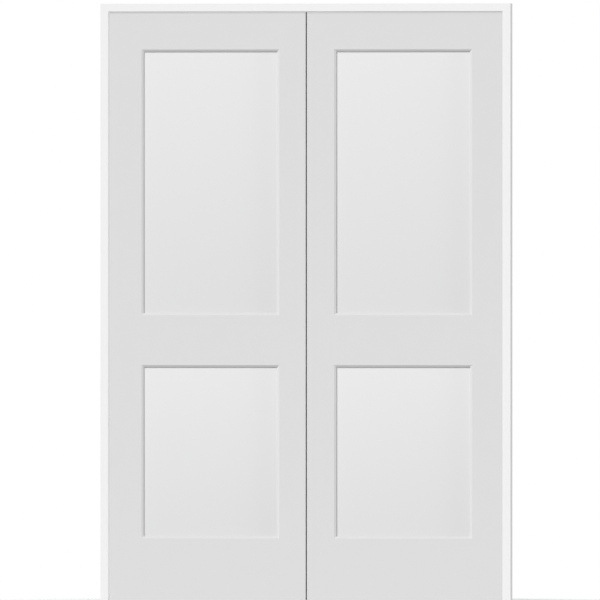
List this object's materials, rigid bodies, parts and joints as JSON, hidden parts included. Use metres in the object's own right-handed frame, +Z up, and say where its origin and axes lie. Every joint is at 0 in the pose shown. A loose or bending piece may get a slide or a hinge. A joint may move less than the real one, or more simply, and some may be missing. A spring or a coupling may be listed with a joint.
{
  "type": "double prehung interior door",
  "caption": "Pair of white stile-and-rail door leaves with recessed flat panels, hung on butt hinges in a jamb frame with stops, to close a wide indoor doorway.",
  "frame": {"origin": "on the floor plane under the jamb legs, in the middle of the overall width and depth", "axes": "+Z up the door, +X across the opening to the viewer's right, +Y from the stop side to the hinge side, the way both leaves swing open"},
  "size_m": [1.4144, 0.136, 2.0667],
  "materials": {
    "leaf_paint": "primed white, satin",
    "panel_paint": "primed white, satin",
    "frame_paint": "primed white, satin",
    "hardware": "satin nickel"
  },
  "bodies": {
    "frame": {"head_jamb": "frame_paint", "head_stop": "frame_paint", "left_jamb_leg": "frame_paint", "left_stop": "frame_paint", "left_catch_strike": "hardware", "left_lower_jamb_hinge_leaf": "hardware", "left_lower_hinge_pin": "hardware", "left_middle_jamb_hinge_leaf": "hardware", "left_middle_hinge_pin": "hardware", "left_upper_jamb_hinge_leaf": "hardware", "left_upper_hinge_pin": "hardware", "right_jamb_leg": "frame_paint", "right_stop": "frame_paint", "right_catch_strike": "hardware", "right_lower_jamb_hinge_leaf": "hardware", "right_lower_hinge_pin": "hardware", "right_middle_jamb_hinge_leaf": "hardware", "right_middle_hinge_pin": "hardware", "right_upper_jamb_hinge_leaf": "hardware", "right_upper_hinge_pin": "hardware"},
    "left_leaf": {"left_hinge_stile": "leaf_paint", "left_meeting_stile": "leaf_paint", "left_top_rail": "leaf_paint", "left_lock_rail": "leaf_paint", "left_bottom_rail": "leaf_paint", "left_upper_panel": "panel_paint", "left_lower_panel": "panel_paint", "left_lower_door_hinge_leaf": "hardware", "left_middle_door_hinge_leaf": "hardware", "left_upper_door_hinge_leaf": "hardware", "left_catch_case": "hardware"},
    "left_bolt": {"left_catch_bolt": "hardware"},
    "right_leaf": {"right_hinge_stile": "leaf_paint", "right_meeting_stile": "leaf_paint", "right_top_rail": "leaf_paint", "right_lock_rail": "leaf_paint", "right_bottom_rail": "leaf_paint", "right_upper_panel": "panel_paint", "right_lower_panel": "panel_paint", "right_lower_door_hinge_leaf": "hardware", "right_middle_door_hinge_leaf": "hardware", "right_upper_door_hinge_leaf": "hardware", "right_catch_case": "hardware"},
    "right_bolt": {"right_catch_bolt": "hardware"}
  },
  "joints": [
    {"name": "left_leaf_swing", "type": "hinge", "parent": "frame", "child": "left_leaf", "pos_m": [-0.6867, 0.0625, 1.0287], "axis": [0, 0, 1], "range_deg": [0, 170]},
    {"name": "right_leaf_swing", "type": "hinge", "parent": "frame", "child": "right_leaf", "pos_m": [0.6867, 0.0625, 1.0287], "axis": [0, 0, -1], "range_deg": [0, 170]},
    {"name": "left_bolt_press", "type": "slide", "parent": "left_leaf", "child": "left_bolt", "axis": [0, 0, -1], "range_m": [0, 0.0025], "stiffness_N_per_m": 400, "springref_m": -0.004},
    {"name": "right_bolt_press", "type": "slide", "parent": "right_leaf", "child": "right_bolt", "axis": [0, 0, -1], "range_m": [0, 0.0025], "stiffness_N_per_m": 400, "springref_m": -0.004}
  ]
}
